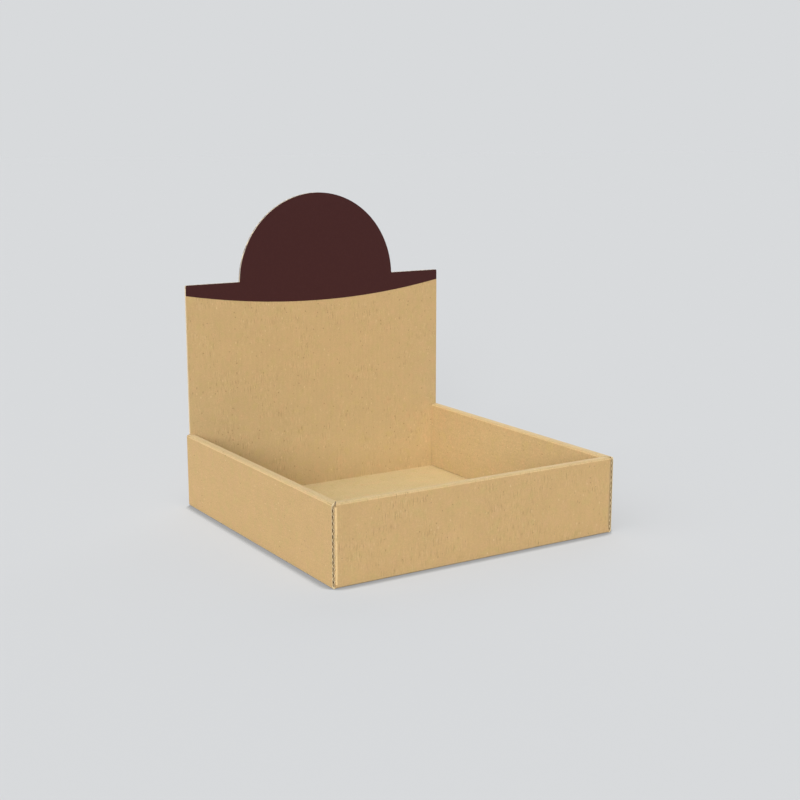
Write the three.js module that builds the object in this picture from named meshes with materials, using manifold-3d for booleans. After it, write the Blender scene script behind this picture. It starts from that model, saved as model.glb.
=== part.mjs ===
// Counter display tray, folded from one blank of E-flute corrugated board.
// The side walls and the front wall are rolled over at the top, and the back panel rises as a domed header.
// Millimetres, +Z up. The front faces -Y, and the origin is under the middle of the tray.

import * as THREE from 'three';
import { mergeVertices } from 'three/addons/utils/BufferGeometryUtils.js';
import Module from 'manifold-3d';

const wasm = await Module();
wasm.setup();

// Driving dimensions
const width = 184; // over the outer side walls
const depth = 182; // front face to rear face
const wallHeight = 44.8; // top of the rolled walls
const shoulderHeight = 136.3; // straight top of the header, beside the dome
const shoulderRadius = 1; // rounded corner of each shoulder
const domeRadius = 54.6;
const domeDrop = 1.55; // centre of the dome below the shoulders
const board = 1.5; // thickness of the corrugated board
const liner = 0.2; // each face sheet of the board
const medium = 0.2; // the wavy sheet between them
const flutePitch = 3.5; // from wave to wave, evened out over each cut edge
const glueWidth = 0.5; // band where a wave is glued to a liner
const pocketDepth = 3.5; // how far the channels are open behind a cut edge
const layerGap = 0.3; // air between layers that lie together
const frontCavity = 1.5; // air between the two layers of the front wall
const foldRadius = 0.2; // inside radius of a crease
const creaseRadius = 1.2; // outside radius of a crease, where the board is crushed
const endSetback = 0.4; // cut ends of the side walls, behind the front and rear faces
const flapLength = 65; // corner flaps, tucked between the layers of the side walls
const tabLength = 22; // tabs that lock the inner side panels into the base
const tabTaper = 1.2; // what a tab loses at each end towards its tip
const tabSpacing = 85; // between the middles of the two tabs of a side
const slotClearance = 0.3; // play of a tab in its slot, on each side
const seamGap = 0.3; // open seam of the mitred front corners, and relief where two creases of the base meet

// Facets
const foldSteps = 4; // on the turn of a crease
const shoulderSteps = 3;
const domeSteps = 60;
const grid = 1e4; // points lie on a grid of this many steps to a millimetre, so that faces in one plane match

// Derived sizes
const halfWidth = width / 2;
const halfDepth = depth / 2;
const bendReach = foldRadius + board; // what a crease takes up of each panel, from the outer face
const flapFace = halfWidth - board - layerGap; // outer face of the corner flaps, and edge of front and header
const innerFace = flapFace - board - layerGap - board; // what the tray leaves free, from its middle
const frontInner = -halfDepth + 2 * board + frontCavity; // rear face of the front wall
const headerFront = halfDepth - board;
const panelFoot = board + layerGap; // lower edge of the inner panels, just over the base
const flapFoot = bendReach + layerGap;
const flapTop = wallHeight - bendReach - layerGap;
const past = 1; // how far a cutting shape passes what it cuts

// Turns a closed geometry into a solid that can be joined and cut.
function toSolid(geometry) {
  const plain = geometry.clone();
  plain.deleteAttribute('normal');
  plain.deleteAttribute('uv');
  const merged = mergeVertices(plain, 1e-5);
  return new wasm.Manifold(new wasm.Mesh({
    numProp: 3,
    vertProperties: merged.attributes.position.array.map((value) => Math.round(value * grid) / grid),
    triVerts: new Uint32Array(merged.index.array),
  }));
}

// Extrudes a profile along X (drawn in Y, Z), along Y (drawn in X, Z) or along Z (drawn in X, Y).
function extrude(points, axis, from, to) {
  const shape = new THREE.Shape(points);
  const geometry = new THREE.ExtrudeGeometry(shape, { depth: to - from, bevelEnabled: false });
  const x = new THREE.Vector3(1, 0, 0);
  const y = new THREE.Vector3(0, 1, 0);
  const z = new THREE.Vector3(0, 0, 1);
  const turn = new THREE.Matrix4();
  if (axis === 'x') {
    turn.makeBasis(y, z, x).setPosition(from, 0, 0);
  } else if (axis === 'y') {
    turn.makeBasis(x, z, y.negate()).setPosition(0, to, 0);
  } else {
    turn.makeBasis(x, y, z).setPosition(0, 0, from);
  }
  return toSolid(geometry.applyMatrix4(turn));
}

// Box between limits given in any order, drawn for the right side and mirrored for the left.
function block(side, ...limits) {
  const [low, high] = [Math.min, Math.max].map((pick) => limits.map(([from, to], i) => (
    i === 0 ? pick(side * from, side * to) : pick(from, to))));
  const size = high.map((value, i) => value - low[i]);
  const geometry = new THREE.BoxGeometry(...size);
  geometry.translate(...low.map((value, i) => value + size[i] / 2));
  return toSolid(geometry);
}

function arc(centreX, centreY, radius, startAngle, endAngle, steps) {
  const curve = new THREE.EllipseCurve(
    centreX, centreY, radius, radius, startAngle, endAngle, endAngle < startAngle);
  return curve.getPoints(steps);
}

// Path of straight legs, moved to one side of the path given, with a rounded crease at each corner.
function offsetPath(corners, distance) {
  const legs = corners.slice(1).map((corner, i) => corner.clone().sub(corners[i]).normalize());
  const normals = legs.map((leg) => new THREE.Vector2(-leg.y, leg.x));
  const last = legs.length - 1;
  const points = [corners[0].clone().addScaledVector(normals[0], distance)];
  for (let i = 1; i <= last; i += 1) {
    const turn = Math.atan2(legs[i - 1].cross(legs[i]), legs[i - 1].dot(legs[i]));
    const radius = turn * distance > 0 ? foldRadius : creaseRadius;
    const across = normals[i - 1].clone().add(normals[i]).divideScalar(1 + Math.cos(turn));
    const start = corners[i].clone().addScaledVector(across, distance)
      .addScaledVector(legs[i - 1], -radius * Math.tan(Math.abs(turn) / 2));
    const centre = start.clone().addScaledVector(normals[i - 1], Math.sign(turn) * radius);
    for (let step = 0; step <= foldSteps; step += 1) {
      points.push(start.clone().rotateAround(centre, turn * step / foldSteps));
    }
  }
  points.push(corners[last + 1].clone().addScaledVector(normals[last], distance));
  return points.filter((point, i) => i === 0 || point.distanceTo(points[i - 1]) > 1 / grid);
}

// Section of a strip of board whose middle line runs through the corners given.
function foldedSection(corners) {
  return offsetPath(corners, board / 2).concat(offsetPath(corners, -board / 2).reverse());
}

function mirrored(points, side) {
  return points.map((point) => new THREE.Vector2(point.x * side, point.y));
}

function line(...pairs) {
  return pairs.map(([x, y]) => new THREE.Vector2(x, y));
}

// Base panel, between the creases of the four walls.
function basePanel() {
  const reach = [halfWidth - bendReach, halfDepth - bendReach];
  return block(1, [-reach[0], reach[0]], [-reach[1], reach[1]], [0, board]);
}

// Side wall: outer panel, top strip and inner panel in one strip, mitred at the front
// and notched at the rear for the header.
function sideWall(side) {
  const outer = halfWidth - board / 2;
  const inner = innerFace + board / 2;
  const top = wallHeight - board / 2;
  const path = line(
    [halfWidth - bendReach, board / 2], [outer, board / 2], [outer, top], [inner, top], [inner, panelFoot]);
  const inside = innerFace - past;
  const innerPanel = [inside, innerFace + board + layerGap / 2];
  const topStrip = [inside, flapFace + layerGap];
  const panelHeight = [panelFoot - layerGap / 2, flapTop];
  const stripHeight = [flapTop, wallHeight + past];
  const front = [-halfDepth - past, frontInner + layerGap];
  const rear = [headerFront - layerGap, halfDepth + past];
  const mitre = line(
    [topStrip[1], front[0]], [topStrip[1], -halfDepth], [innerFace, front[1]], [inside, front[1]], [inside, front[0]]);
  const end = halfDepth - endSetback;
  return extrude(mirrored(foldedSection(path), side), 'y', -end, end)
    .subtract(extrude(mirrored(mitre, side), 'z', ...stripHeight))
    .subtract(block(side, innerPanel, front, panelHeight))
    .subtract(block(side, innerPanel, rear, panelHeight))
    .subtract(block(side, topStrip, rear, stripHeight));
}

// Front wall: outer panel, top strip with mitred ends, and inner panel held behind the side walls' inner panels.
function frontWall() {
  const outer = -halfDepth + board / 2;
  const inner = frontInner - board / 2;
  const top = wallHeight - board / 2;
  const path = line(
    [-halfDepth + bendReach, board / 2], [outer, board / 2], [outer, top], [inner, top], [inner, panelFoot]);
  const outside = flapFace + past;
  const panelEnd = [flapFace - board - layerGap, outside];
  const panelLayer = [-halfDepth + board + frontCavity / 2, frontInner + past];
  const panelHeight = [panelFoot - layerGap / 2, flapTop];
  const mitre = line(
    [outside, -halfDepth - past], [flapFace - seamGap, -halfDepth - past], [flapFace - seamGap, -halfDepth],
    [innerFace - seamGap, frontInner], [innerFace - seamGap, frontInner + past], [outside, frontInner + past]);
  let wall = extrude(foldedSection(path), 'x', -flapFace, flapFace);
  for (const side of [-1, 1]) {
    wall = wall
      .subtract(extrude(mirrored(mitre, side), 'z', flapTop, wallHeight + past))
      .subtract(block(side, panelEnd, panelLayer, panelHeight));
  }
  return turnCorners(wall, -1);
}

// Sections of the channels between the wavy sheet and the liners, drawn along the wave and across the board.
// The middles of the first and the last channel are given, both of these lie against the first liner, and
// whole waves of about the driving pitch fill the length between them.
function channels(from, to) {
  const count = 2 * Math.round((to - from) / flutePitch);
  const step = (to - from) / count;
  const halfChannel = step - glueWidth / 2;
  const height = board - 2 * liner - medium;
  const face = board / 2 - liner;
  return Array.from({ length: count + 1 }, (_, i) => {
    const at = from + i * step;
    const side = i % 2 === 0 ? -1 : 1;
    return line(
      [at - halfChannel, side * face], [at - step / 2, side * (face - height / 2)],
      [at, side * (face - height)], [at + step / 2, side * (face - height / 2)],
      [at + halfChannel, side * face]);
  });
}

// Open ends of the channels in both cut ends of a side wall's outer panel.
function sidePockets(side) {
  const edge = bendReach + layerGap;
  const end = halfDepth - endSetback;
  return channels(edge, wallHeight - edge).flatMap((section) => {
    const drawn = section.map((point) => new THREE.Vector2(side * (halfWidth - board / 2 + point.y), point.x));
    return [
      extrude(drawn, 'y', -end - past, -end + pocketDepth),
      extrude(drawn, 'y', end - pocketDepth, end + past),
    ];
  });
}

// Height of the header's outline.
function headerTop(x) {
  const half = Math.abs(x);
  const dome = half < domeRadius ? shoulderHeight - domeDrop + Math.sqrt(domeRadius ** 2 - half ** 2) : 0;
  return Math.max(shoulderHeight, dome);
}

// Open ends of the channels along the cut top of the header. The channels in its two upright edges are
// cut open along their length, above the walls.
function headerPockets() {
  return channels(-flapFace, flapFace).map((section, i, all) => {
    const drawn = section.map((point) => new THREE.Vector2(point.x, halfDepth - board / 2 + point.y));
    const tops = section.map((point) => headerTop(point.x));
    const atEdge = i === 0 || i === all.length - 1;
    const foot = atEdge ? wallHeight + layerGap : Math.min(...tops) - pocketDepth;
    return extrude(drawn, 'z', foot, Math.max(...tops) + past);
  });
}

// Outline of the header above the crease of its base, with its shoulders and dome.
function headerOutline() {
  const domeCentre = shoulderHeight - domeDrop;
  const domeStart = Math.asin(domeDrop / domeRadius);
  const cornerX = flapFace - shoulderRadius;
  const cornerZ = shoulderHeight - shoulderRadius;
  return [
    ...line([-flapFace, bendReach], [flapFace, bendReach]),
    ...arc(cornerX, cornerZ, shoulderRadius, 0, Math.PI / 2, shoulderSteps),
    ...arc(0, domeCentre, domeRadius, domeStart, Math.PI - domeStart, domeSteps),
    ...arc(-cornerX, cornerZ, shoulderRadius, Math.PI / 2, Math.PI, shoulderSteps),
  ];
}

// Header: the back panel of the tray, rising above the walls.
function header() {
  const path = line(
    [halfDepth - bendReach, board / 2], [halfDepth - board / 2, board / 2], [halfDepth - board / 2, bendReach]);
  const crease = extrude(foldedSection(path), 'x', -flapFace, flapFace);
  const panel = extrude(headerOutline(), 'y', headerFront, halfDepth);
  return turnCorners(crease.add(panel), 1);
}

// Turns both ends of the front or rear panel into flaps that lie inside the side walls, with a relief
// under each, where the creases of the base meet.
function turnCorners(panel, end) {
  let turned = panel;
  const face = end * halfDepth;
  const cornerX = [flapFace - bendReach, flapFace + past];
  const cornerY = [face - end * bendReach, face + end * past];
  const reliefX = [halfWidth - bendReach - seamGap, flapFace + past];
  const path = line(
    [flapFace - bendReach, face - end * board / 2], [flapFace - board / 2, face - end * board / 2],
    [flapFace - board / 2, face - end * flapLength]);
  for (const side of [-1, 1]) {
    turned = turned
      .subtract(block(side, reliefX, cornerY, [-past, flapFoot]))
      .subtract(block(side, cornerX, cornerY, [flapFoot, flapTop]))
      .add(extrude(mirrored(foldedSection(path), side), 'z', flapFoot, flapTop));
  }
  return turned;
}

// Tabs on the inner side panels, and the slots in the base that hold them.
function lockTabs(tray) {
  let locked = tray;
  const slotX = [innerFace - slotClearance, innerFace + board + slotClearance];
  for (const side of [-1, 1]) {
    const tabX = [side * innerFace, side * (innerFace + board)].sort((a, b) => a - b);
    for (const end of [-1, 1]) {
      const middle = end * tabSpacing / 2;
      const reach = tabLength / 2;
      const tab = line(
        [middle - reach + tabTaper, layerGap], [middle + reach - tabTaper, layerGap],
        [middle + reach, panelFoot], [middle - reach, panelFoot]);
      const slotY = [middle - reach - slotClearance, middle + reach + slotClearance];
      locked = locked
        .subtract(block(side, slotX, slotY, [-past, panelFoot - layerGap / 2]))
        .add(extrude(tab, 'x', ...tabX));
    }
  }
  return locked;
}

function toMesh(solid, name, material) {
  const { vertProperties, triVerts } = solid.getMesh();
  const geometry = new THREE.BufferGeometry();
  geometry.setAttribute('position', new THREE.BufferAttribute(new Float32Array(vertProperties), 3));
  geometry.setIndex(new THREE.BufferAttribute(new Uint32Array(triVerts), 1));
  geometry.computeVertexNormals();
  const mesh = new THREE.Mesh(geometry, material);
  mesh.name = name;
  return mesh;
}

const kraftBoard = new THREE.MeshStandardMaterial({ color: 0xc9a876, roughness: 0.85, metalness: 0 });

const folded = basePanel().add(sideWall(-1)).add(sideWall(1)).add(frontWall()).add(header());
const pockets = [...sidePockets(-1), ...sidePockets(1), ...headerPockets()];
const blank = pockets.reduce((solid, pocket) => solid.subtract(pocket), lockTabs(folded));
const tray = new THREE.Group();
tray.add(toMesh(blank, 'display_tray', kraftBoard));

export default tray;
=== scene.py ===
import math

import bpy
from mathutils import Matrix, Vector


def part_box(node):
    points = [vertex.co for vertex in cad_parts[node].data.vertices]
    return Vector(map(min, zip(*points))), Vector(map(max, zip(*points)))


# Counter display tray in E-flute kraft board, standing on a pale studio floor.

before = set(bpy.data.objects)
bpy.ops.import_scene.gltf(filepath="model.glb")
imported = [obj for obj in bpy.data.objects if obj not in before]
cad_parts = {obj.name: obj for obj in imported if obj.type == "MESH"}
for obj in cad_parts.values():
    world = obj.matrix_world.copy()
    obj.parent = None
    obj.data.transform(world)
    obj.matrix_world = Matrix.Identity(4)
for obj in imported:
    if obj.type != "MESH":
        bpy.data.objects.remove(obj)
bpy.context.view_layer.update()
print("frame loaded")


def mm(length):  # millimetres to metres
    return length / 1000.0


def toMm(length):
    return length * 1000.0


def hexToLinear(code):
    channels = [int(code[i:i + 2], 16) / 255.0 for i in (1, 3, 5)]
    return [c / 12.92 if c <= 0.04045 else ((c + 0.055) / 1.055) ** 2.4 for c in channels] + [1.0]


def addNode(tree, kind, settings=None, inputs=None):
    node = tree.nodes.new(kind)
    for name, value in (settings or {}).items():
        setattr(node, name, value)
    for socket, value in (inputs or {}).items():
        if isinstance(value, bpy.types.NodeSocket):
            tree.links.new(value, node.inputs[socket])
        else:
            node.inputs[socket].default_value = value
    return node


def newMaterial(name):
    material = bpy.data.materials.new(name)
    material.use_nodes = True
    material.node_tree.nodes.clear()
    return material, material.node_tree


def calc(tree, operation, *values):
    return addNode(tree, "ShaderNodeMath", {"operation": operation}, dict(enumerate(values))).outputs[0]


def product(tree, first, *others):
    for other in others:
        first = calc(tree, "MULTIPLY", first, other)
    return first


def total(tree, first, *others):
    for other in others:
        first = calc(tree, "ADD", first, other)
    return first


def minus(tree, first, second):
    return calc(tree, "SUBTRACT", first, second)


def absolute(tree, value):
    return calc(tree, "ABSOLUTE", value)


def above(tree, value, limit):
    return calc(tree, "GREATER_THAN", value, limit)


def below(tree, value, limit):
    return calc(tree, "LESS_THAN", value, limit)


def within(tree, value, low, high):  # 1 between two values, else 0
    middle, reach = (low + high) / 2.0, (high - low) / 2.0
    return below(tree, absolute(tree, minus(tree, value, middle)), reach)


def ramp(tree, value, low, high, outLow=0.0, outHigh=1.0):  # smooth step between two values
    inputs = {"Value": value, "From Min": low, "From Max": high, "To Min": outLow, "To Max": outHigh}
    return addNode(tree, "ShaderNodeMapRange", {"interpolation_type": "SMOOTHSTEP"}, inputs).outputs[0]


def scaled(tree, vector, factor):
    inputs = {0: vector, "Scale": factor}
    return addNode(tree, "ShaderNodeVectorMath", {"operation": "SCALE"}, inputs).outputs[0]


def noise(tree, vector, grain, detail=2.0, rough=0.5):  # grain in millimetres
    inputs = {"Vector": vector, "Scale": 1.0 / grain, "Detail": detail, "Roughness": rough}
    return addNode(tree, "ShaderNodeTexNoise", {}, inputs).outputs["Fac"]


def scatter(tree, vector, spacing=1.0):  # distance to the nearest point, and that point's random values
    cells = addNode(tree, "ShaderNodeTexVoronoi", {}, {"Vector": vector, "Scale": 1.0 / spacing}).outputs
    chance = addNode(tree, "ShaderNodeSeparateColor", {}, {0: cells["Color"]}).outputs
    return cells["Distance"], chance


def blend(tree, share, under, over):
    inputs = {0: share, 6: under, 7: over}
    return addNode(tree, "ShaderNodeMix", {"data_type": "RGBA"}, inputs).outputs[2]


# Tray: kraft board and its print. Lengths are millimetres. A pair named Where holds the values of a noise
# or a chance between which its mark grows from none to full.

kraftBoard = {
    "liner": "#ccaa77",  # unbleached kraft, the wood's own brown
    "innerPaintedShade": "#c3a97c",  # painted shade: a little greyer and less orange on the inner faces, against the warm light bounced inside the tray, and on the creased wall tops, against the lamps meeting there
    "innerFrom": 10.0,  # inner faces look to the middle, and lie at least this far from it
    "innerShadeFade": (20.0, 110.0),  # heights between which the inner painted shade fades
    "innerLeft": 0.3,  # what is left of it above them
    "levelPaintedLight": "#cab687",  # painted light: the floor of the tray, and in part the tops of the walls, paler where the light from above falls
    "levelFade": (3.0, 6.0),
    "topShare": 0.35,
    "creaseWearAndHighlight": "#f4daa6",  # stretched and worn over the upright creases, and a painted highlight there
    "creaseShare": 0.32,
    "yellowPulp": "#c2ae71",  # the hue drifts to either side
    "redPulp": "#d1a97f",
    "yellowWhere": (0.5, 0.72),
    "redWhere": (0.5, 0.28),
    "hueShare": 0.3,
    "hueSize": 6.0,
    "cloudSize": 11.0,  # uneven thickness of the pulp
    "cloudDepth": 0.12,
    "grainSize": 0.8,  # felt of the fibres, about twice as coarse as real so that it shows
    "grainDepth": 0.6,
    "uprightCalm": 0.28,  # less of it on front and header, where the streaks show instead
    "flutePitch": 3.5,
    "ribHeight": 0.014,  # washboard of the glued waves, felt through the liner
    "grainHeight": 0.02,
    "streakHeight": -0.01,  # dark streaks lie a little lower
    "roughness": 0.8,
    "specular": 0.18,
    "sheen": "#fbe9cf",  # fuzz of loose fibres, seen at a flat angle
    "sheenWeight": 0.4,
    "sheenRoughness": 0.3,
}

fibres = {
    "dark": "#8f7143",
    "pale": "#e6cc9d",
    "streakWidth": 0.42,  # fibre bundles and glue lines along the waves
    "streakLength": 6.0,
    "darkStreakWhere": (0.585, 0.67),
    "paleStreakWhere": (0.42, 0.32),
    "darkStreak": 0.5,
    "paleStreak": 0.36,
    "streakPatch": 16.0,
    "patchWhere": (0.38, 0.62),
    "patchLeft": 0.15,  # share of the streaks between the patches
    "lyingLeft": 0.3,  # share of them on all faces but front and header
    "spotBlur": 0.05,
    "speckSpacing": 3.6,  # specks of bark
    "speckRadius": 0.5,
    "speckWhere": (0.35, 0.8),
    "darkSpeck": 0.55,
    "fleckWidth": 1.35,  # short flecks: their spacing across the waves, and along them
    "fleckLength": 3.2,
    "fleckRadius": 0.27,  # as a share of that spacing
    "paleFleckWhere": (0.74, 0.90),
    "darkFleckWhere": (0.24, 0.08),
    "paleFleck": 0.48,
    "darkFleck": 0.45,
    "hairSize": 3.0,  # long curled hairs
    "hairWidth": 0.014,
    "hairPatch": 2.6,
    "hairWhere": (0.54, 0.64),
    "paleHair": 0.4,
}

cutEdge = {
    "headerSection": "#f4eadb",  # clean cut of the header, nearly cream
    "headerChannel": "#c9b590",
    "sideSection": "#e2cfa6",  # sawn paper layers, paler than the liner's face
    "sideWavesAndShade": "#8a6a42",  # inside of the waves: darker medium paper, deepened with painted shade in the hollow
    "mitreSeamShade": "#3d2a1b",  # painted shade deep in the open seam of the front corners
    "cover": 0.9,
    "board": 1.5,
    "liner": 0.2,
    "linerMargin": 0.02,
    "reach": 5.0,  # how far from a wall's end the cut colours go
    "headerFoot": 45.0,
    "sideHeights": (0.3, 44.4),
    "mitreHeights": (42.9, 44.9),
}

printField = {
    "ink": "#401f1e",
    "inkThin": "#432221",  # where the plate pressed lightly
    "thinWhere": (0.45, 0.75),
    "mottleSize": 1.1,
    "roughness": 0.7,
    "reliefLeft": 0.2,  # the ink fills the felt
    "middleHeight": 121.7,  # lowest point of the field's lower edge
    "endRise": 8.6,  # how much higher that edge is at the sides
    "edgeBlur": 0.12,
}

# How squarely a face looks along an axis: 1 is straight along it, 0 is square to it.
facingLimits = {"straight": 0.985, "mitre": 0.98, "level": 0.9, "mostly": 0.7, "partly": 0.3, "slightly": 0.2}


def boardAxes(tree):  # place in millimetres, as a vector and split, and the way the surface faces
    outputs = addNode(tree, "ShaderNodeTexCoord").outputs
    place = scaled(tree, outputs["Object"], toMm(1.0))
    axes = addNode(tree, "ShaderNodeSeparateXYZ", {}, {0: place}).outputs
    facing = addNode(tree, "ShaderNodeSeparateXYZ", {}, {0: outputs["Normal"]}).outputs
    return place, axes, facing


def fluteAxes(tree, axes, upright):  # across the waves and along them: upright on front and header
    lying = minus(tree, 1.0, upright)
    sideways = product(tree, total(tree, axes["X"], axes["Z"]), lying)
    across = total(tree, product(tree, axes["X"], upright), sideways)
    along = total(tree, product(tree, axes["Z"], upright), product(tree, axes["Y"], lying))
    return across, along


def stretched(tree, across, along, width, length):
    inputs = {"X": calc(tree, "DIVIDE", across, width), "Y": calc(tree, "DIVIDE", along, length)}
    return addNode(tree, "ShaderNodeCombineXYZ", {}, inputs).outputs[0]


def shadeLightWearMasks(tree, axes, facing):  # faces painted unlike the outer walls: painted shade inside the tray and on creased wall tops, painted light on level faces, wear and painted highlight over upright creases
    flatX, flatY, flatZ = (absolute(tree, facing[axis]) for axis in "XYZ")
    outward = total(tree, product(tree, facing["X"], axes["X"]), product(tree, facing["Y"], axes["Y"]))
    innerShadeFade = ramp(tree, axes["Z"], *kraftBoard["innerShadeFade"], 1.0, kraftBoard["innerLeft"])
    inner = product(tree, below(tree, outward, -kraftBoard["innerFrom"]), innerShadeFade)
    levelFade = ramp(tree, axes["Z"], *kraftBoard["levelFade"], 1.0, kraftBoard["topShare"])
    creased = product(tree, below(tree, flatX, facingLimits["straight"]),
                      below(tree, flatY, facingLimits["straight"]),
                      below(tree, flatZ, facingLimits["slightly"]))
    return {
        "innerPaintedShade": calc(tree, "MAXIMUM", inner, above(tree, facing["Z"], facingLimits["slightly"])),
        "levelPaintedLight": product(tree, above(tree, facing["Z"], facingLimits["level"]), levelFade),
        "creaseWearAndHighlight": product(tree, creased, kraftBoard["creaseShare"]),
    }


def cutMasks(tree, axes, facing, low, high):  # sections of the cut board, and the waves inside them, with painted shade in the side waves and the mitre seam
    flatX, flatY, flatZ = (absolute(tree, facing[axis]) for axis in "XYZ")
    section = (0.0, cutEdge["board"])
    facePaper = cutEdge["liner"] + cutEdge["linerMargin"]
    waves = (facePaper, cutEdge["board"] - facePaper)
    fromRear = minus(tree, toMm(high.y), axes["Y"])
    fromSide = minus(tree, toMm(high.x), absolute(tree, axes["X"]))
    fromMiddle = absolute(tree, minus(tree, axes["Y"], toMm(low.y + high.y) / 2.0))
    nearEnd = below(tree, minus(tree, toMm(high.y - low.y) / 2.0, fromMiddle), cutEdge["reach"])
    turned = product(tree, below(tree, flatX, facingLimits["mitre"]),
                     below(tree, flatY, facingLimits["mitre"]),
                     below(tree, flatZ, facingLimits["slightly"]))
    return {
        "headerSection": product(tree, within(tree, fromRear, *section),
                                 above(tree, axes["Z"], cutEdge["headerFoot"]),
                                 below(tree, flatY, facingLimits["partly"])),
        "headerChannel": product(tree, within(tree, fromRear, *waves),
                                 above(tree, flatY, facingLimits["partly"])),
        "sideSection": product(tree, within(tree, fromSide, *section), nearEnd,
                               above(tree, flatY, facingLimits["mostly"])),
        # painted shade in the hollows of the side waves, over the medium's darker paper
        "sideWavesAndShade": product(tree, within(tree, fromSide, *waves), nearEnd,
                               within(tree, axes["Z"], *cutEdge["sideHeights"]),
                               above(tree, flatX, facingLimits["partly"])),
        # painted shade in the open mitre seam
        "mitreSeamShade": product(tree, turned, within(tree, axes["Z"], *cutEdge["mitreHeights"])),
    }


def printMask(tree, axes, facing, low, high):  # front of the header, above a shallow arc
    halfWidth = toMm(high.x - low.x) / 2.0
    rise = printField["endRise"]
    arcRadius = (halfWidth ** 2 + rise ** 2) / (2.0 * rise)
    acrossSquared = product(tree, axes["X"], axes["X"])
    drop = calc(tree, "SQRT", minus(tree, arcRadius ** 2, acrossSquared))
    edge = minus(tree, printField["middleHeight"] + arcRadius, drop)
    field = ramp(tree, minus(tree, axes["Z"], edge), -printField["edgeBlur"], printField["edgeBlur"])
    frontFace = below(tree, facing["Y"], -facingLimits["level"])
    onHeader = above(tree, axes["Y"], toMm(high.y) - 2.0 * cutEdge["board"])
    return product(tree, field, frontFace, onHeader)


def pulpColour(tree, place, axes, facing, upright, felt):  # liner of each face with its painted shade and light, drifting and felted
    colour = hexToLinear(kraftBoard["liner"])
    for name, mask in shadeLightWearMasks(tree, axes, facing).items():
        colour = blend(tree, mask, colour, hexToLinear(kraftBoard[name]))
    hue = noise(tree, place, kraftBoard["hueSize"], detail=2.0, rough=0.6)
    for pulp, where in (("yellowPulp", "yellowWhere"), ("redPulp", "redWhere")):
        share = ramp(tree, hue, *kraftBoard[where], 0.0, kraftBoard["hueShare"])
        colour = blend(tree, share, colour, hexToLinear(kraftBoard[pulp]))
    cloud = noise(tree, place, kraftBoard["cloudSize"], detail=3.0, rough=0.55)
    clouded = product(tree, minus(tree, cloud, 0.5), kraftBoard["cloudDepth"])
    grainDepth = minus(tree, kraftBoard["grainDepth"], product(tree, upright, kraftBoard["uprightCalm"]))
    felted = product(tree, minus(tree, felt, 0.5), grainDepth)
    return scaled(tree, colour, total(tree, 1.0, clouded, felted))


def spot(tree, distance, radius):  # soft-edged disc around a scattered point
    return ramp(tree, minus(tree, radius, distance), -fibres["spotBlur"], fibres["spotBlur"])


def streakMasks(tree, place, across, along, upright):  # dark and pale, in patches
    squeezed = stretched(tree, across, along, fibres["streakWidth"], fibres["streakLength"])
    streaks = noise(tree, squeezed, 1.0, detail=2.0, rough=0.6)
    patch = noise(tree, place, fibres["streakPatch"], detail=1.0)
    patches = ramp(tree, patch, *fibres["patchWhere"], fibres["patchLeft"], 1.0)
    standing = product(tree, upright, 1.0 - fibres["lyingLeft"])
    share = product(tree, patches, total(tree, fibres["lyingLeft"], standing))
    return [product(tree, ramp(tree, streaks, *fibres[where]), share)
            for where in ("darkStreakWhere", "paleStreakWhere")]


def spotMasks(tree, place, across, along):  # specks of bark, then pale and dark flecks along the waves
    distance, chance = scatter(tree, place, fibres["speckSpacing"])
    radius = product(tree, chance[1], fibres["speckRadius"] / fibres["speckSpacing"])
    speck = product(tree, spot(tree, distance, radius), ramp(tree, chance[0], *fibres["speckWhere"]))
    squeezed = stretched(tree, across, along, fibres["fleckWidth"], fibres["fleckLength"])
    distance, chance = scatter(tree, squeezed)
    fleck = spot(tree, distance, product(tree, chance[1], fibres["fleckRadius"]))
    return [speck] + [product(tree, fleck, ramp(tree, chance[0], *fibres[where]))
                      for where in ("paleFleckWhere", "darkFleckWhere")]


def hairMask(tree, place):
    line = absolute(tree, minus(tree, noise(tree, place, fibres["hairSize"]), 0.5))
    patch = noise(tree, place, fibres["hairPatch"], detail=1.0)
    return product(tree, ramp(tree, line, 0.0, fibres["hairWidth"], 1.0, 0.0),
                   ramp(tree, patch, *fibres["hairWhere"]))


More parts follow.
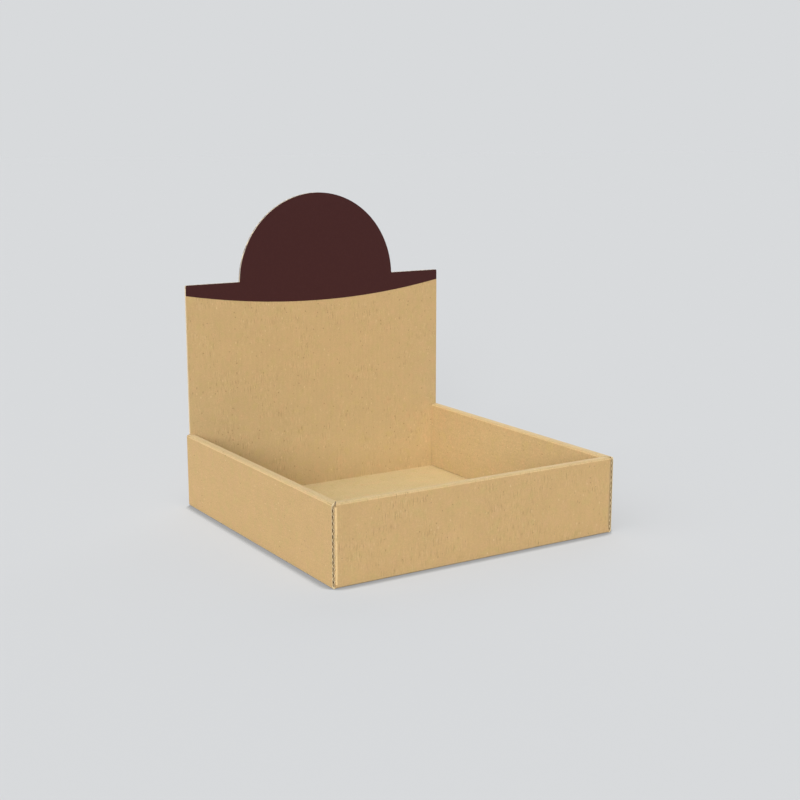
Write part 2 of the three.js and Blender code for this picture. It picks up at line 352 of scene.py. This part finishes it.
def makeBoardMaterial():
    # Uncoated kraft liner, machine-finished: matt, warm brown, with felted fibres, specks of bark,
    # thin streaks along the waves and a faint washboard. The print is a matt ink soaked into it.
    material, tree = newMaterial("uncoatedKraftLiner")
    low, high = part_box("display_tray")
    place, axes, facing = boardAxes(tree)
    upright = above(tree, absolute(tree, facing["Y"]), facingLimits["mostly"])
    across, along = fluteAxes(tree, axes, upright)
    felt = noise(tree, place, kraftBoard["grainSize"], detail=3.0, rough=0.65)
    colour = pulpColour(tree, place, axes, facing, upright, felt)

    darkStreak, paleStreak = streakMasks(tree, place, across, along, upright)
    speck, paleFleck, darkFleck = spotMasks(tree, place, across, along)
    marks = [
        (darkStreak, "darkStreak", "dark"), (paleStreak, "paleStreak", "pale"), (speck, "darkSpeck", "dark"),
        (paleFleck, "paleFleck", "pale"), (darkFleck, "darkFleck", "dark"),
        (hairMask(tree, place), "paleHair", "pale")]
    for mask, strength, fibre in marks:
        colour = blend(tree, product(tree, mask, fibres[strength]), colour, hexToLinear(fibres[fibre]))

    for name, mask in cutMasks(tree, axes, facing, low, high).items():
        colour = blend(tree, product(tree, mask, cutEdge["cover"]), colour, hexToLinear(cutEdge[name]))
    printed = printMask(tree, axes, facing, low, high)
    mottle = noise(tree, place, printField["mottleSize"], detail=3.0, rough=0.6)
    thin = ramp(tree, mottle, *printField["thinWhere"])
    ink = blend(tree, thin, hexToLinear(printField["ink"]), hexToLinear(printField["inkThin"]))
    colour = blend(tree, printed, colour, ink)

    wave = calc(tree, "SINE", product(tree, across, 2.0 * math.pi / kraftBoard["flutePitch"]))
    relief = total(tree, product(tree, wave, kraftBoard["ribHeight"]),
                   product(tree, felt, kraftBoard["grainHeight"]),
                   product(tree, darkStreak, kraftBoard["streakHeight"]))
    relief = product(tree, relief, ramp(tree, printed, 0.0, 1.0, 1.0, printField["reliefLeft"]))
    bump = addNode(tree, "ShaderNodeBump", {}, {"Height": relief, "Distance": mm(1.0), "Strength": 1.0})

    dullness = addNode(tree, "ShaderNodeMapRange", {}, {
        "Value": printed, "To Min": kraftBoard["roughness"], "To Max": printField["roughness"]})
    shader = addNode(tree, "ShaderNodeBsdfPrincipled", {}, {
        "Base Color": colour,
        "Roughness": dullness.outputs[0],
        "Specular IOR Level": kraftBoard["specular"],
        "Sheen Weight": kraftBoard["sheenWeight"],
        "Sheen Roughness": kraftBoard["sheenRoughness"],
        "Sheen Tint": hexToLinear(kraftBoard["sheen"]),
        "Normal": bump.outputs[0]})
    addNode(tree, "ShaderNodeOutputMaterial", {}, {"Surface": shader.outputs[0]})
    return material


def dressTray():
    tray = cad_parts["display_tray"]
    tray.data.materials.clear()
    tray.data.materials.append(makeBoardMaterial())
    print("tray dressed in kraft board")


# Studio: floor, lamps and camera

studio = {
    "background": "#d8dadc",
    "world": 0.19,
    "floorSize": 12.0,  # metres from the middle to each side
    "floorDrop": 0.02,  # millimetres under the board, so that the two faces don't lie in one plane
    "floorBounce": 0.62,  # share of its light that the floor passes on to the tray
    "shadowShare": 0.45,
    "contactReach": 11.0,  # millimetres from the board where the floor darkens
    "contactClear": (0.60, 0.76),  # openness between which that ends
    "contactShade": 0.57,
    "contactSamples": 16,
}

lamps = {
    "frontLamp": {"strength": 2.20, "from": (-0.53, -0.79, 0.30), "angle": 25.0},
    "leftLamp": {"strength": 1.32, "from": (-0.75, -0.12, 0.65), "angle": 60.0},
    "topLamp": {"strength": 1.00, "from": (-0.05, -0.10, 1.00), "angle": 30.0},
    "rearFill": {"strength": 1.05, "from": (0.55, 0.75, 0.35), "angle": 60.0},
}


def levelLight():  # what the lamps and the world bring to a level surface
    direct = [lamp["strength"] * Vector(lamp["from"]).normalized().z for lamp in lamps.values()]
    return studio["world"] + sum(direct) / math.pi


def floorSurface(tree):
    # Matt painted plaster: no gloss, only the soft shadow and a painted contact shadow along the line where
    # the board touches it.
    background = hexToLinear(studio["background"])
    albedo = [c / levelLight() for c in background[:3]]
    around = addNode(tree, "ShaderNodeAmbientOcclusion", {"samples": studio["contactSamples"]},
                     {"Distance": mm(studio["contactReach"])})
    clear = ramp(tree, around.outputs["AO"], *studio["contactClear"], studio["contactShade"], 1.0)
    camera = addNode(tree, "ShaderNodeLightPath").outputs["Is Camera Ray"]
    passedOn = ramp(tree, camera, 0.0, 1.0, studio["floorBounce"], 1.0)
    shaded = scaled(tree, albedo, product(tree, clear, passedOn))
    lit = addNode(tree, "ShaderNodeBsdfDiffuse", {}, {"Color": shaded})
    plain = addNode(tree, "ShaderNodeEmission", {}, {"Color": background, "Strength": clear})
    share = product(tree, camera, 1.0 - studio["shadowShare"])
    seen = addNode(tree, "ShaderNodeMixShader", {}, {0: share, 1: lit.outputs[0], 2: plain.outputs[0]})
    fromBelow = addNode(tree, "ShaderNodeNewGeometry").outputs["Backfacing"]
    window = addNode(tree, "ShaderNodeBsdfTransparent")  # open from below, so that the tray isn't hidden
    mixed = {0: fromBelow, 1: seen.outputs[0], 2: window.outputs[0]}
    return addNode(tree, "ShaderNodeMixShader", {}, mixed).outputs[0]


def makeFloor():
    size, level = studio["floorSize"], -mm(studio["floorDrop"])
    corners = [(-size, -size, level), (size, -size, level), (size, size, level), (-size, size, level)]
    mesh = bpy.data.meshes.new("studio_floor")
    mesh.from_pydata(corners, [], [(0, 1, 2, 3)])
    floor = bpy.data.objects.new("studio_floor", mesh)
    bpy.context.scene.collection.objects.link(floor)
    material, tree = newMaterial("mattPaintedPlaster")
    addNode(tree, "ShaderNodeOutputMaterial", {}, {"Surface": floorSurface(tree)})
    floor.data.materials.append(material)
    print("floor laid")


def lightStudio():
    world = bpy.data.worlds.new("paleStudio")
    bpy.context.scene.world = world
    world.use_nodes = True
    tree = world.node_tree
    tree.nodes.clear()
    path = addNode(tree, "ShaderNodeLightPath").outputs
    mirrored = calc(tree, "MAXIMUM", path["Is Glossy Ray"], path["Is Transmission Ray"])
    seen = calc(tree, "MAXIMUM", path["Is Camera Ray"], mirrored)
    light = addNode(tree, "ShaderNodeBackground", {}, {
        "Color": [1.0, 1.0, 1.0, 1.0], "Strength": studio["world"]})
    backdrop = addNode(tree, "ShaderNodeBackground", {}, {
        "Color": hexToLinear(studio["background"]), "Strength": 1.0})
    mixed = addNode(tree, "ShaderNodeMixShader", {}, {0: seen, 1: light.outputs[0], 2: backdrop.outputs[0]})
    addNode(tree, "ShaderNodeOutputWorld", {}, {"Surface": mixed.outputs[0]})
    for name, lamp in lamps.items():
        data = bpy.data.lights.new(name, "SUN")
        data.energy = lamp["strength"]
        data.angle = math.radians(lamp["angle"])
        sun = bpy.data.objects.new(name, data)
        sun.rotation_euler = Vector(lamp["from"]).to_track_quat("Z", "Y").to_euler()
        bpy.context.scene.collection.objects.link(sun)
    print("lamps set")


view = {
    "position": (-399.22, -644.47, 225.84),  # millimetres from the middle of the tray's foot
    "heading": -32.107,  # degrees, turned left of straight in front
    "tilt": 11.462,  # degrees, looking down
    "roll": -0.026,
    "focalLength": 59.28,
    "sensor": 36.0,
    "clipEnd": 100.0,  # metres
}


def placeCamera():
    data = bpy.data.cameras.new("photoView")
    data.lens = view["focalLength"]
    data.sensor_width = view["sensor"]
    data.clip_end = view["clipEnd"]
    camera = bpy.data.objects.new("photoView", data)
    heading, tilt, roll = (math.radians(angle) for angle in (-view["heading"], view["tilt"], view["roll"]))
    level = math.cos(tilt)
    forward = Vector((math.sin(heading) * level, math.cos(heading) * level, -math.sin(tilt)))
    turn = forward.to_track_quat("-Z", "Y").to_matrix() @ Matrix.Rotation(roll, 3, "Z")
    camera.matrix_world = Matrix.Translation([mm(v) for v in view["position"]]) @ turn.to_4x4()
    bpy.context.scene.collection.objects.link(camera)
    bpy.context.scene.camera = camera
    print("camera placed")


dressTray()
makeFloor()
lightStudio()
placeCamera()
bpy.context.scene.view_settings.view_transform = "Standard"
